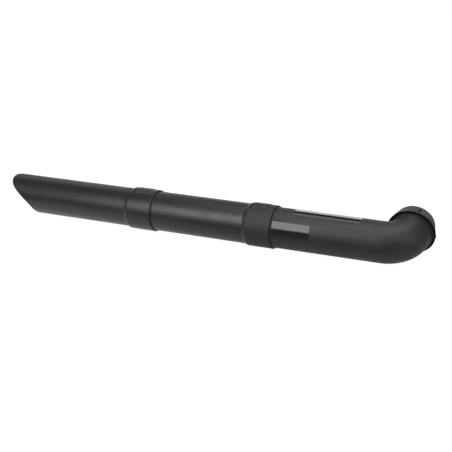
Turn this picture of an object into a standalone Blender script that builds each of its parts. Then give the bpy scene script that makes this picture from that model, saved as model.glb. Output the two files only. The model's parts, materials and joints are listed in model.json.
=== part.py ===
"""Sectional suction tube with a slanted mouth, two twist-lock couplings and an elbow outlet.

Units are metres and +Z is up. The tube lies as it rests on a floor: both coupling sleeves and
the rim of the locking collar touch z = 0. The long tubes run along X, from the slanted mouth
at -X to the elbow at +X, and the outlet points towards +Y.

Positions below are given in the tube's own axes: the tube axis is y = z = 0, the bend starts
at x = 0 and lies in the plane z = 0. The empty "tube_axes" then rolls and places the whole.
"""
import math

import bmesh
import bpy
from mathutils import Matrix, Vector

# Tube: the middle section is a little wider than the front one, and the rear one narrows from
# that width to its bend. GAP parts neighbours, EDGE is a small chamfer, SHEER the run of a
# square step along a bar, and CLEAR how far a cutter reaches past what it cuts
TUBE_RADIUS = 0.0475
REAR_RADIUS = 0.0479
BORE_RADIUS = 0.0453
SIDES = 48
GAP = 0.0003
EDGE = 0.0006
SHEER = 0.0001
CLEAR = 0.3 * TUBE_RADIUS
WELD = 0.000001
CREASE = math.radians(30)

# Slanted mouth: its edge lies at x = -(REACH + SLOPE h + CURVE h^2 - HOOK h^4) for height h
MOUTH_REACH = 19.33 * TUBE_RADIUS
MOUTH_SLOPE = 0.82
MOUTH_CURVE = 0.763 / TUBE_RADIUS
MOUTH_HOOK = 0.358 / TUBE_RADIUS ** 3
MOUTH_STEPS = 16

# Twist-lock couplings, each placed by the middle of its seal
FRONT_COUPLING = -11.79 * TUBE_RADIUS
REAR_COUPLING = -5.28 * TUBE_RADIUS
SLEEVE_RADIUS = 0.0512
SOCKET_RADIUS = 0.0480
FRONT_SLEEVE = 0.0698
MIDDLE_SLEEVE = 0.0653
FLARE_LENGTH = 0.0060
SPIGOT_RADIUS = SOCKET_RADIUS - GAP
SPIGOT_LENGTH = 0.0635
SEAL_WIDTH = 0.0024
SEAL_RADIUS = 0.0504
BEAD_RADIUS = 0.0488
BEAD_WIDTH = 0.0014

# Bayonet: a lug on each spigot in a pocket of the sleeve, which a raised pad with a sunk
# window covers
PAD_RADIUS = 0.0522
PAD_LENGTH = 0.0348
PAD_BACK = 0.0216
PAD_ANGLES = (math.radians(42), math.radians(103.5))
PAD_WALL = 0.0016
WINDOW_ANGLES = (math.radians(52), math.radians(76))
WINDOW_MARGIN = 0.0050
WINDOW_FLOOR = 0.0514
PAD_ROUNDING = 0.0010
PAD_ROUNDING_STEPS = 2
POCKET_WIDTH = math.radians(35.5)
POCKET_RADIUS = 0.0499
LUG_RADIUS = 0.0495
LUG_WIDTH = math.radians(12)
LUG_PLAY = math.radians(0.6)
LUG_END_PLAY = 0.0004
ENTRY_RADIUS = 0.0498

# Elbow and its outlet
BEND_RADIUS = 1.0716 * TUBE_RADIUS
BEND_STEPS = 12
STUB_LENGTH = 0.0230
OUTLET_BEAD_RADIUS = 0.0508
OUTLET_BEAD_START = -0.0062
OUTLET_BEAD_END = -0.0028
OUTLET_SEAL_RADIUS = 0.0550
OUTLET_SEAL_BORE = 0.0490
CLIP_GROOVE_RADIUS = 0.0463
CLIP_RADIUS = 0.0508
CLIP_WIDTH = 0.0026
CLIP_SPLIT = math.radians(14)

# Locking collar, a tapered ring held between the outlet bead and the retaining ring
COLLAR_START = 0.0002
COLLAR_LENGTH = 0.0407
COLLAR_RIM_RADIUS = 0.0561
COLLAR_END_RADIUS = 0.0465
COLLAR_WALL = 0.0023
COLLAR_BORE = 0.0479
SLOT_START = 0.0050
SLOT_LENGTH = 0.0140
SLOT_WIDTH = 0.0034
SLOT_ANGLE = math.radians(19.6)
TAB_RADIUS = 0.0568
TAB_LENGTH = 0.0022
TAB_WIDTH = math.radians(7)

# Adhesive pieces on the rear tube
STICKER_INNER = REAR_RADIUS + GAP
STICKER_THICKNESS = 0.0004
LABEL_START = -4.36 * TUBE_RADIUS
LABEL_END = -1.03 * TUBE_RADIUS
LABEL_ANGLES = (math.radians(30), math.radians(106))
PATCH_END = -3.32 * TUBE_RADIUS
PATCH_ANGLES = (math.radians(123), math.radians(188))
STICKER_STEP = math.radians(3.8)

# The roll at which the collar's rim and the sleeves touch one floor
RIM_OUT = BEND_RADIUS + COLLAR_START
ROLL = (math.atan2(COLLAR_RIM_RADIUS, RIM_OUT)
        - math.asin(SLEEVE_RADIUS / math.hypot(COLLAR_RIM_RADIUS, RIM_OUT)))


def start_scene():
    """Empties the scene and returns the collections for the parts and for the cutters."""
    for item in list(bpy.data.objects):
        bpy.data.objects.remove(item)
    parts = bpy.data.collections.new("suction_tube")
    cutters = bpy.data.collections.new("cutters")
    bpy.context.scene.collection.children.link(parts)
    bpy.context.scene.collection.children.link(cutters)
    return parts, cutters


def plastic(name, colour, roughness):
    """A Principled material for a moulded or rubber piece."""
    material = bpy.data.materials.new(name)
    material.use_nodes = True
    shader = material.node_tree.nodes["Principled BSDF"]
    shader.inputs["Base Color"].default_value = (*colour, 1.0)
    shader.inputs["Roughness"].default_value = roughness
    shader.inputs["Metallic"].default_value = 0.0
    return material


def place(mesh, name, collection, parent):
    """Links a mesh as an object under a parent empty."""
    piece = bpy.data.objects.new(name, mesh)
    collection.objects.link(piece)
    piece.parent = parent
    if collection.name == "cutters":
        piece.hide_render = True
        piece.display_type = "WIRE"
    return piece


def finish(piece, material):
    """Gives a piece its material and smooth shading with sharp corners kept."""
    piece.data.materials.append(material)
    piece.data.shade_smooth()
    piece.data.set_sharp_from_angle(angle=CREASE)


def turned(name, outer, inner, collection, parent):
    """A ring or tube turned about the local X axis.

    outer runs from high x to low x along the outside, inner back along the inside. Both are
    lists of (radius, x).
    """
    loop = outer + inner
    mesh = bpy.data.meshes.new(name)
    mesh.from_pydata([(radius, 0.0, along) for radius, along in loop],
                     [(i, (i + 1) % len(loop)) for i in range(len(loop))], [])
    piece = place(mesh, name, collection, parent)
    piece.rotation_euler = (0.0, math.pi / 2, 0.0)
    screw = piece.modifiers.new("turn", "SCREW")
    screw.axis = "Z"
    screw.angle = 2 * math.pi
    screw.steps = SIDES
    screw.render_steps = SIDES
    screw.use_merge_vertices = True
    screw.merge_threshold = WELD
    return piece


def sector(name, radii, span, angles, collection, parent):
    """A curved block about the X axis, between two radii, two x and two angles from +Y."""
    steps = max(2, math.ceil((angles[1] - angles[0]) / STICKER_STEP))
    bm = bmesh.new()
    turn = Matrix.Rotation(angles[0], 3, "X")
    corners = [(span[0], radii[0]), (span[1], radii[0]), (span[1], radii[1]), (span[0], radii[1])]
    face = bm.faces.new([bm.verts.new(turn @ Vector((x, r, 0.0))) for x, r in corners])
    bmesh.ops.spin(bm, geom=[face, *face.edges, *face.verts], cent=(0, 0, 0), axis=(1, 0, 0),
                   angle=angles[1] - angles[0], steps=steps)
    bmesh.ops.recalc_face_normals(bm, faces=bm.faces)
    mesh = bpy.data.meshes.new(name)
    bm.to_mesh(mesh)
    bm.free()
    return place(mesh, name, collection, parent)


def swept(name, stations, collection, parent):
    """A round bar along the bent tube axis; stations are (x or distance round, radius)."""
    curve = bpy.data.curves.new(name, "CURVE")
    curve.dimensions = "3D"
    curve.bevel_depth = 1.0
    curve.bevel_resolution = (SIDES - 4) // 2
    curve.use_fill_caps = True
    spline = curve.splines.new("POLY")
    spline.points.add(len(stations) - 1)
    for point, (distance, radius) in zip(spline.points, stations):
        point.co = (*bend_point(distance), 1.0)
        point.radius = radius
    bar = bpy.data.objects.new(name, curve)
    bpy.context.scene.collection.objects.link(bar)
    bpy.context.view_layer.update()
    evaluated = bar.evaluated_get(bpy.context.evaluated_depsgraph_get())
    mesh = bpy.data.meshes.new_from_object(evaluated)
    mesh.transform(bar.matrix_world)
    bpy.data.objects.remove(bar)
    bm = bmesh.new()
    bm.from_mesh(mesh)
    bmesh.ops.remove_doubles(bm, verts=bm.verts, dist=WELD)
    bm.to_mesh(mesh)
    bm.free()
    return place(mesh, name, collection, parent)


def bend_point(distance):
    """The point of the bent axis at a distance from where the bend starts."""
    arc = BEND_RADIUS * math.pi / 2
    turn = min(max(distance, 0.0), arc) / BEND_RADIUS
    x = BEND_RADIUS * math.sin(turn) + min(distance, 0.0)
    y = BEND_RADIUS * (1 - math.cos(turn)) + max(distance - arc, 0.0)
    return Vector((x, y, 0.0))


def boolean(piece, tool, operation):
    """Joins or cuts a piece with a tool object."""
    step = piece.modifiers.new(tool.name, "BOOLEAN")
    step.operation = operation
    step.solver = "EXACT"
    step.object = tool


def mouth_edge(height):
    """The x of the mouth's edge at a height above the tube axis."""
    return -(MOUTH_REACH + MOUTH_SLOPE * height + MOUTH_CURVE * height ** 2
             - MOUTH_HOOK * height ** 4)


def mouth_cutter(collection, parent):
    """Everything in front of the curved slant of the mouth."""
    reach = TUBE_RADIUS + CLEAR
    front = mouth_edge(reach) - CLEAR
    outline = [(front, reach), (front, -reach)]
    for i in range(MOUTH_STEPS + 1):
        height = reach * (2 * i / MOUTH_STEPS - 1)
        outline.append((mouth_edge(height), height))
    bm = bmesh.new()
    face = bm.faces.new([bm.verts.new((x, -reach, z)) for x, z in outline])
    grown = bmesh.ops.extrude_face_region(bm, geom=[face])["geom"]
    moved = [item for item in grown if isinstance(item, bmesh.types.BMVert)]
    bmesh.ops.translate(bm, vec=(0, 2 * reach, 0), verts=moved)
    bmesh.ops.recalc_face_normals(bm, faces=bm.faces)
    mesh = bpy.data.meshes.new("mouth_cutter")
    bm.to_mesh(mesh)
    bm.free()
    return place(mesh, "mouth_cutter", collection, parent)


def sleeve_profile(coupling, length, radius):
    """Outside and inside of a socket, from its rim at +X to a tube of a given radius."""
    rim = coupling - SEAL_WIDTH / 2 - GAP
    shoulder = rim - length
    outer = [(SLEEVE_RADIUS - EDGE, rim), (SLEEVE_RADIUS, rim - EDGE),
             (SLEEVE_RADIUS, shoulder + 2 * EDGE), (SLEEVE_RADIUS - EDGE / 2, shoulder - EDGE),
             (radius + EDGE / 2, shoulder - FLARE_LENGTH + EDGE),
             (radius, shoulder - FLARE_LENGTH - EDGE)]
    stop = shoulder + EDGE
    inner = [(BORE_RADIUS, stop - 4 * EDGE), (SOCKET_RADIUS - EDGE, stop), (SOCKET_RADIUS, stop + EDGE),
             (SOCKET_RADIUS, rim - EDGE), (SOCKET_RADIUS + EDGE, rim)]
    return outer, inner


def spigot_profile(coupling):
    """Outside of a spigot and its stop bead, from the bead at +X to the spigot's end at -X."""
    bead_start = coupling + SEAL_WIDTH / 2 + GAP
    bead_end = bead_start + BEAD_WIDTH
    end = coupling - SEAL_WIDTH / 2 - GAP - SPIGOT_LENGTH
    return [(REAR_RADIUS, bead_end), (BEAD_RADIUS, bead_end - EDGE), (BEAD_RADIUS, bead_start),
            (SPIGOT_RADIUS, bead_start - SHEER),
            (SPIGOT_RADIUS, end + 2 * EDGE), (SPIGOT_RADIUS - EDGE, end)]


def pocket_room(coupling):
    """The x and the angles between which a coupling's pocket is open."""
    span = (coupling - PAD_BACK - PAD_LENGTH + PAD_WALL, coupling - PAD_BACK - PAD_WALL)
    locked = PAD_ANGLES[1] - PAD_WALL / PAD_RADIUS
    return span, (locked - POCKET_WIDTH, locked)


def add_socket(piece, tag, coupling, cutters, parent):
    """Puts the raised pad, its window, its pocket and the lug's way in on a socket."""
    start, end = coupling - PAD_BACK - PAD_LENGTH, coupling - PAD_BACK
    pad = sector(tag + "_pad", (SOCKET_RADIUS + EDGE, PAD_RADIUS), (start, end), PAD_ANGLES,
                 cutters, parent)
    rounding = pad.modifiers.new("edges", "BEVEL")
    rounding.width = PAD_ROUNDING
    rounding.segments = PAD_ROUNDING_STEPS
    rounding.limit_method = "ANGLE"
    boolean(piece, pad, "UNION")
    window = sector(tag + "_window", (WINDOW_FLOOR, PAD_RADIUS + EDGE),
                    (start + WINDOW_MARGIN, end - WINDOW_MARGIN), WINDOW_ANGLES, cutters, parent)
    boolean(piece, window, "DIFFERENCE")
    span, angles = pocket_room(coupling)
    inside = SOCKET_RADIUS - 2 * EDGE
    pocket = sector(tag + "_pocket", (inside, POCKET_RADIUS), span, angles, cutters, parent)
    boolean(piece, pocket, "DIFFERENCE")
    entry = sector(tag + "_entry", (inside, ENTRY_RADIUS), (span[1] - 2 * EDGE, coupling + SEAL_WIDTH),
                   (angles[0], angles[0] + LUG_WIDTH + 2 * LUG_PLAY), cutters, parent)
    boolean(piece, entry, "DIFFERENCE")


def add_lug(piece, tag, coupling, cutters, parent):
    """Puts the bayonet lug on a spigot, seated at the locked end of its pocket."""
    span, angles = pocket_room(coupling)
    locked = angles[1] - LUG_PLAY
    lug = sector(tag + "_lug", (SPIGOT_RADIUS - 2 * EDGE, LUG_RADIUS),
                 (span[0] + LUG_END_PLAY, span[1] - LUG_END_PLAY), (locked - LUG_WIDTH, locked),
                 cutters, parent)
    boolean(piece, lug, "UNION")


def front_tube(parts, cutters, parent, material):
    """The mouth section, with the socket of the front coupling."""
    outer, inner = sleeve_profile(FRONT_COUPLING, FRONT_SLEEVE, TUBE_RADIUS)
    front = mouth_edge(TUBE_RADIUS) - CLEAR
    piece = turned("front_tube", outer + [(TUBE_RADIUS, front)], [(BORE_RADIUS, front)] + inner,
                   parts, parent)
    add_socket(piece, "front", FRONT_COUPLING, cutters, parent)
    boolean(piece, mouth_cutter(cutters, parent), "DIFFERENCE")
    finish(piece, material)


def middle_tube(parts, cutters, parent, material):
    """The middle section: a spigot at the front and a socket at the rear."""
    outer, inner = sleeve_profile(REAR_COUPLING, MIDDLE_SLEEVE, REAR_RADIUS)
    spigot = spigot_profile(FRONT_COUPLING)
    end = (BORE_RADIUS, spigot[-1][1])
    piece = turned("middle_tube", outer + spigot, [end] + inner, parts, parent)
    add_socket(piece, "rear", REAR_COUPLING, cutters, parent)
    add_lug(piece, "front", FRONT_COUPLING, cutters, parent)
    finish(piece, material)


def outlet_frame(parent):
    """An empty on the outlet's axis at the end of the bend, its X along that axis."""
    empty = bpy.data.objects.new("outlet_axis", None)
    bpy.context.scene.collection.objects.link(empty)
    empty.parent = parent
    empty.location = bend_point(BEND_RADIUS * math.pi / 2)
    empty.rotation_euler = (0.0, 0.0, math.pi / 2)
    return empty


def elbow_tube(parts, cutters, parent, outlet, material):
    """The rear section: spigot, long tube, elbow, bead and the stub that carries the collar."""
    arc = BEND_RADIUS * math.pi / 2
    spigot = [(x, radius) for radius, x in reversed(spigot_profile(REAR_COUPLING))]
    bend = [(arc * i / BEND_STEPS, TUBE_RADIUS) for i in range(BEND_STEPS + 1)]
    groove = arc + COLLAR_START + COLLAR_WALL + GAP
    groove_end = groove + CLIP_WIDTH + 2 * GAP
    stub_end = arc + STUB_LENGTH
    stub = [(groove, TUBE_RADIUS), (groove + SHEER, CLIP_GROOVE_RADIUS),
            (groove_end, CLIP_GROOVE_RADIUS), (groove_end + SHEER, TUBE_RADIUS),
            (stub_end - EDGE, TUBE_RADIUS), (stub_end, TUBE_RADIUS - EDGE)]
    piece = swept("elbow_tube", spigot + bend + stub, parts, parent)
    top = OUTLET_BEAD_RADIUS
    bead = turned("outlet_bead",
                  [(top - EDGE, OUTLET_BEAD_END), (top, OUTLET_BEAD_END - EDGE),
                   (top, OUTLET_BEAD_START + EDGE), (top - EDGE, OUTLET_BEAD_START)],
                  [(BORE_RADIUS + EDGE, OUTLET_BEAD_START), (BORE_RADIUS + EDGE, OUTLET_BEAD_END)],
                  cutters, outlet)
    boolean(piece, bead, "UNION")
    add_lug(piece, "rear", REAR_COUPLING, cutters, parent)
    over = 4 * EDGE
    bore = swept("elbow_bore",
                 [(spigot[0][0] - over, BORE_RADIUS)] + [(d, BORE_RADIUS) for d, _ in bend]
                 + [(stub_end + over, BORE_RADIUS)], cutters, parent)
    boolean(piece, bore, "DIFFERENCE")
    finish(piece, material)


def coupling_seal(name, coupling, parts, parent, material):
    """A rubber ring between a socket's rim and the low bead of the tube that enters it."""
    half = SEAL_WIDTH / 2
    side = SEAL_RADIUS - EDGE
    piece = turned(name, [(side, coupling + half), (SEAL_RADIUS, coupling), (side, coupling - half)],
                   [(SPIGOT_RADIUS + GAP, coupling - half), (SPIGOT_RADIUS + GAP, coupling + half)],
                   parts, parent)
    finish(piece, material)


def outlet_seal(parts, outlet, material):
    """The flat rubber ring between the outlet bead and the collar's web."""
    start = OUTLET_BEAD_END + GAP
    end = COLLAR_START - GAP
    piece = turned("outlet_seal", [(OUTLET_SEAL_RADIUS, end), (OUTLET_SEAL_RADIUS, start + EDGE),
                                   (OUTLET_SEAL_RADIUS - EDGE, start)],
                   [(OUTLET_SEAL_BORE, start), (OUTLET_SEAL_BORE, end)], parts, outlet)
    finish(piece, material)


def retaining_ring(parts, cutters, outlet, material):
    """The split ring in the stub's groove, behind the collar's web."""
    start = COLLAR_START + COLLAR_WALL + 2 * GAP
    end = start + CLIP_WIDTH
    inside = CLIP_GROOVE_RADIUS + GAP
    piece = turned("retaining_ring",
                   [(CLIP_RADIUS - EDGE, end), (CLIP_RADIUS, end - EDGE), (CLIP_RADIUS, start + EDGE),
                    (CLIP_RADIUS - EDGE, start)],
                   [(inside, start), (inside, end)], parts, outlet)
    split = sector("clip_split", (inside - 2 * EDGE, CLIP_RADIUS + 2 * EDGE), (start - EDGE, end + EDGE),
                   (0.0, CLIP_SPLIT), cutters, outlet)
    boolean(piece, split, "DIFFERENCE")
    finish(piece, material)


def locking_collar(parts, cutters, outlet, material):
    """The tapered collar that turns on the outlet, with its locking slots and its marking tab."""
    end = COLLAR_START + COLLAR_LENGTH
    taper = (COLLAR_RIM_RADIUS - COLLAR_END_RADIUS) / COLLAR_LENGTH
    web = COLLAR_START + COLLAR_WALL
    cavity = COLLAR_RIM_RADIUS - COLLAR_WALL - taper * COLLAR_WALL
    piece = turned("locking_collar",
                   [(COLLAR_END_RADIUS - EDGE, end), (COLLAR_END_RADIUS, end - EDGE),
                    (COLLAR_RIM_RADIUS, COLLAR_START + EDGE), (COLLAR_RIM_RADIUS - EDGE, COLLAR_START)],
                   [(COLLAR_BORE, COLLAR_START), (COLLAR_BORE, web), (cavity, web),
                    (COLLAR_END_RADIUS - COLLAR_WALL, end)], parts, outlet)
    half = SLOT_WIDTH / 2 / COLLAR_RIM_RADIUS
    for side in range(2):
        middle = math.pi / 2 - SLOT_ANGLE + side * math.pi
        slot = sector("collar_slot_%d" % side, (COLLAR_BORE - EDGE, COLLAR_RIM_RADIUS + EDGE),
                      (SLOT_START, SLOT_START + SLOT_LENGTH), (middle - half, middle + half),
                      cutters, outlet)
        boolean(piece, slot, "DIFFERENCE")
    tab = sector("collar_tab", (COLLAR_RIM_RADIUS - COLLAR_WALL / 2, TAB_RADIUS),
                 (COLLAR_START + GAP, COLLAR_START + TAB_LENGTH),
                 (math.pi - TAB_WIDTH / 2, math.pi + TAB_WIDTH / 2), cutters, outlet)
    boolean(piece, tab, "UNION")
    finish(piece, material)


def sticker(name, span, angles, parts, parent, material):
    """A thin adhesive piece that wraps part of the rear tube."""
    radii = (STICKER_INNER, STICKER_INNER + STICKER_THICKNESS)
    piece = sector(name, radii, span, angles, parts, parent)
    finish(piece, material)


def tube_axes():
    """The empty that rolls the tube onto its resting points and centres it on the origin."""
    rear = BEND_RADIUS + TAB_RADIUS
    lip = mouth_edge(TUBE_RADIUS)
    far = (RIM_OUT + COLLAR_LENGTH) * math.cos(ROLL) + COLLAR_END_RADIUS * math.sin(ROLL)
    empty = bpy.data.objects.new("tube_axes", None)
    bpy.context.scene.collection.objects.link(empty)
    empty.rotation_euler = (ROLL, 0.0, 0.0)
    empty.location = (-(rear + lip) / 2, -(far - SLEEVE_RADIUS) / 2, SLEEVE_RADIUS)
    return empty


def build():
    """Builds every piece."""
    parts, cutters = start_scene()
    tube_plastic = plastic("tube_plastic", (0.032, 0.033, 0.034), 0.42)
    collar_plastic = plastic("collar_plastic", (0.045, 0.046, 0.047), 0.55)
    rubber = plastic("seal_rubber", (0.012, 0.012, 0.012), 0.8)
    clip_plastic = plastic("clip_plastic", (0.05, 0.05, 0.05), 0.5)
    label_film = plastic("label_film", (0.55, 0.53, 0.62), 0.35)
    gloss_film = plastic("gloss_film", (0.02, 0.02, 0.021), 0.08)
    axes = tube_axes()
    outlet = outlet_frame(axes)
    front_tube(parts, cutters, axes, tube_plastic)
    middle_tube(parts, cutters, axes, tube_plastic)
    elbow_tube(parts, cutters, axes, outlet, tube_plastic)
    coupling_seal("front_coupling_seal", FRONT_COUPLING, parts, axes, rubber)
    coupling_seal("rear_coupling_seal", REAR_COUPLING, parts, axes, rubber)
    outlet_seal(parts, outlet, rubber)
    locking_collar(parts, cutters, outlet, collar_plastic)
    retaining_ring(parts, cutters, outlet, clip_plastic)
    sticker("tube_label", (LABEL_START, LABEL_END), LABEL_ANGLES, parts, axes, label_film)
    patch_start = REAR_COUPLING + SEAL_WIDTH / 2 + BEAD_WIDTH + 2 * GAP
    sticker("gloss_patch", (patch_start, PATCH_END), PATCH_ANGLES, parts, axes, gloss_film)
    bpy.context.view_layer.update()


build()
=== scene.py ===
"""The looks of a sectional suction tube, modelled round its packed construction.

The tube is three moulded sections that twist-lock into each other: a front tube with a slanted
mouth, a middle tube, and a rear tube that ends in an elbow with a rotating locking collar.

Every piece is modelled in the tube's own axes, where the tube's axis is X, the bend starts at the
origin and the outlet points to +Y. It is then placed by TUBE_AXES or OUTLET_AXES, which are worked
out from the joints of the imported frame.
"""
import json
import math

import bmesh
import bpy
from mathutils import Matrix, Vector


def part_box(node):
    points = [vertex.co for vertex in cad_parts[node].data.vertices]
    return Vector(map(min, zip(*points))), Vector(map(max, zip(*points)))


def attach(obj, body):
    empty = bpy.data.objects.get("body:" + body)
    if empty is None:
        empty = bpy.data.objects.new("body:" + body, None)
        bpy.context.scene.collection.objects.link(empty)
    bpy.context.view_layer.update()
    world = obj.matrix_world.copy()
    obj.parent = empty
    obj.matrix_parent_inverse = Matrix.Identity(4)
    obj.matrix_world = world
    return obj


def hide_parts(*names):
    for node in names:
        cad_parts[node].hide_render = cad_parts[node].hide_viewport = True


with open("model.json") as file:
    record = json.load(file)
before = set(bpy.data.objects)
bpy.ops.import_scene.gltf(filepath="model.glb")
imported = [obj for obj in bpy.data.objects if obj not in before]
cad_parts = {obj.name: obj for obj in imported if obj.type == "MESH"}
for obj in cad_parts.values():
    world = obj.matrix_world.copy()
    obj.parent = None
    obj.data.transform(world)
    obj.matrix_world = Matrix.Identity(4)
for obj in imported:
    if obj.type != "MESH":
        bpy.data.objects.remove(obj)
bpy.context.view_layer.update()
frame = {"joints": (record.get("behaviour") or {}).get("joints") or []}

bl_info = {
    "name": "Sectional suction tube",
    "version": (1, 0, 0),
    "blender": (4, 5, 0),
    "location": "View3D > Sidebar > Suction tube",
    "description": "Models a twist-lock suction tube with an elbow and a locking collar",
    "category": "Add Mesh",
}

JOINTS = {joint["name"]: joint for joint in frame["joints"]}
REAR_COUPLING = Vector(JOINTS["rear_coupling_twist"]["pos_m"])
OUTLET = Vector(JOINTS["collar_turn"]["pos_m"])
OUTLET_WAY = Vector(JOINTS["collar_turn"]["axis"]).normalized()
ROLL = math.atan2(OUTLET_WAY.z, OUTLET_WAY.y)
BEND_RADIUS = math.hypot(OUTLET.y - REAR_COUPLING.y, OUTLET.z - REAR_COUPLING.z)
BEND_START = Vector((OUTLET.x - BEND_RADIUS, REAR_COUPLING.y, REAR_COUPLING.z))
BEND_END = Vector((BEND_RADIUS, BEND_RADIUS, 0.0))
OUTLET_TURN = Matrix.Translation(BEND_END) @ Matrix.Rotation(math.pi / 2, 4, "Z")
TUBE_AXES = Matrix.Translation(BEND_START) @ Matrix.Rotation(ROLL, 4, "X")
OUTLET_AXES = TUBE_AXES @ OUTLET_TURN

ALONG = Vector((1.0, 0.0, 0.0))
OUTWARD = Vector((0.0, 1.0, 0.0))
# Steps round a ring, along a rounding, round the bend and along the label's slanted end
SIDES = 192
ARC_STEPS = 5
BEND_STEPS = 72
SLANT_STEPS = 16
SMOOTH_ANGLE = math.radians(32)
# The rounding of a plain moulded edge, and the distance at which vertices merge
EDGE = 0.0006
WELD = 0.000002
# An arc takes at most this part of the straight stretch on either side of it
ARC_SHARE = 0.45

# Roundings of the sleeves, the spigots, the seals and the collar's cavity
FOOT_ROUNDING = 0.0036
FLARE_ROUNDING = 0.0050
SHOULDER_ROUNDING = 0.0120
LIP_ROUNDING = 0.0003
ROOT_ROUNDING = 0.0004
CROWN_ROUNDING = 0.0020
CAVITY_ROUNDING = 0.0010
# The part of the flare's length that its cone takes
CONE_SHARE = 0.72

# Edges of the pressed patches: width, and rise as a share of the pad's rise
PAD_EDGE = ((0.0001, 0.15), (0.0001, 0.6), (0.00015, 0.2), (0.0003, 0.05))
WINDOW_EDGE = ((0.0002, -0.1), (0.0001, -0.6), (0.0002, -0.1))
GROOVE_EDGE = ((0.0001, -0.2), (0.0001, -1.8))

# Angles from the outlet's side in degrees: both films, and the label's stripes from their middle
LABEL_SPAN = (29.5, 106.5)
PATCH_SPAN = (122.5, 188.5)
LABEL_MIDDLE = 68
STRIPES_REACH = 40
BAND_START = 13.2
GREY_START = 23.0
GREY_END = 32.0
# How far the label's first end slants along the tube
LABEL_SLANT = 0.0015

# Softboxes: place, size and radiance
LAMPS = (("key_softbox", (-0.64, -1.51, 1.39), (1.04, 1.5), 6.0),
         ("overhead_softbox", (0.45, 0.15, 1.9), (1.85, 2.1), 2.7),
         ("right_softbox", (2.0, -0.6, 1.0), (1.2, 1.2), 2.3),
         ("left_softbox", (-2.1, -0.45, 0.75), (0.8, 0.9), 1.3))

# Reflector cards: place, size, tilt and radiance
CARDS = (("rear_card", (0.0, 2.4, 0.50), (4.4, 1.0), math.pi / 2, 1.0),
         ("rear_left_card", (-2.75, 2.2, 2.10), (2.4, 1.6), math.pi / 2, 1.1),
         ("floor_right_card", (1.55, 0.96, 0.003), (1.9, 1.8), 0.0, 0.25))
FLOOR_CARD = ("floor_card", (0.0, -0.78, 0.003), (5.0, 1.66), 0.0)

FLOOR_SIZE = 14
PAPER = (0.82, 0.82, 0.82)
# The share of the floor that the camera sees as plain white, and how bright that white is
WHITE_SHARE = 0.86
WHITE_LEVEL = 1.13
# The light of the grey room round the stage
ROOM_LEVEL = 0.11
# The softboxes face the nearest point of this stretch of the tube
LAMP_REACH = 0.5
LAMP_HEIGHT = 0.05


def along_tube(node):
    """The lowest and highest place of a CAD node along the tube, from the bend's start."""
    low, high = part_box(node)
    return low.x - BEND_START.x, high.x - BEND_START.x


# Settings


def metres(name, description, default):
    """A length that a user may change."""
    return bpy.props.FloatProperty(name=name, description=description, default=default,
                                   unit="LENGTH")


def degrees(name, description, default):
    """An angle that a user may change, given in degrees."""
    return bpy.props.FloatProperty(name=name, description=description,
                                   default=math.radians(default), subtype="ANGLE")


def factor(name, description, default):
    """A share from 0 to 1 that a user may change."""
    return bpy.props.FloatProperty(name=name, description=description, default=default,
                                   min=0.0, max=1.0, subtype="FACTOR")


def tint(name, description, default):
    """A colour that a user may change."""
    return bpy.props.FloatVectorProperty(name=name, description=description, default=default,
                                         size=3, subtype="COLOR")


class TubeSizes(bpy.types.PropertyGroup):
    """Sizes of the tube sections and their couplings."""
    tube_radius: metres("Tube radius",
                        "Outside radius of the front section and of the bend", 0.0475)
    wide_radius: metres("Wide radius", "Outside radius at both couplings' spigots", 0.0479)
    bore_radius: metres("Bore radius", "Inside radius of every section", 0.0453)
    sleeve_radius: metres("Sleeve radius", "Outside radius of a socket sleeve", 0.05115)
    socket_radius: metres("Socket radius", "Inside radius of a socket sleeve", 0.0480)
    front_sleeve: metres("Front sleeve", "From the front tube's rim to its shoulder", 0.0638)
    middle_sleeve: metres("Middle sleeve", "From the middle tube's rim to its shoulder", 0.0608)
    flare_length: metres("Flare length", "Length of the cone between tube and sleeve", 0.0080)
    spigot_radius: metres("Spigot radius",
                          "Outside radius of the end that enters a socket", 0.0477)
    bead_radius: metres("Stop bead radius", "Outside radius of the bead behind a spigot", 0.0488)
    bead_width: metres("Stop bead width", "Width of the bead behind a spigot", 0.0014)
    socket_depth: metres("Socket depth",
                         "From a sleeve's rim to the stop its spigot ends before", 0.0640)
    seal_tuck: metres("Seal tuck", "How much of a seal's width the stop bead takes", 0.0008)
    seal_radius: metres("Seal radius", "Outside radius of a coupling's rubber ring", 0.0504)
    pad_rise: metres("Pad rise", "Height of the raised pad above the sleeve", 0.0010)
    pad_length: metres("Pad length", "Length of the raised pad along the tube", 0.0348)
    pad_back: metres("Pad setback", "From the middle of the seal to the pad", 0.0216)
    pad_angle: degrees("Pad angle", "Angle of the pad's middle, from the outlet's side", 72.75)
    pad_width: degrees("Pad width", "Angle that the pad spans", 61.5)
    flat_width: metres("Flat width", "Width of the flat on the pad's crest", 0.0236)
    flat_height: metres("Flat height", "Height of that flat above the tube's axis", 0.0511)
    window_angle: degrees("Window angle", "Angle of the middle of the pad's sunk window", 64)
    window_width: degrees("Window width", "Angle that the window spans", 24)
    window_margin: metres("Window margin", "From each end of the pad to its window", 0.0050)
    groove_angle: degrees("Groove angle", "Angle of the middle of the groove beside the pad", 89)
    groove_width: degrees("Groove width", "Angle that the groove spans", 26)
    groove_length: metres("Groove length", "Length of the groove along the tube", 0.0032)
    mouth_reach: metres("Mouth reach",
                        "From the bend to the mouth, at the height of the axis", 0.918175)
    mouth_slope: bpy.props.FloatProperty(
        name="Mouth slope", description="How far the mouth leans forward for each metre up",
        default=0.82)
    mouth_curve: bpy.props.FloatProperty(
        name="Mouth curve", description="How much the slant bends, for each metre squared",
        default=16.063)
    mouth_hook: bpy.props.FloatProperty(
        name="Mouth hook", description="How much the bend eases off, for each metre to the fourth",
        default=3340.4)
    mouth_rounding: metres("Mouth rounding", "Rounding of the mouth's rims", 0.0007)
    film_lift: metres("Film lift", "From the tube to the middle of a film on it", 0.0002)
    film_thickness: metres("Film thickness", "Thickness of the films", 0.00024)


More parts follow.
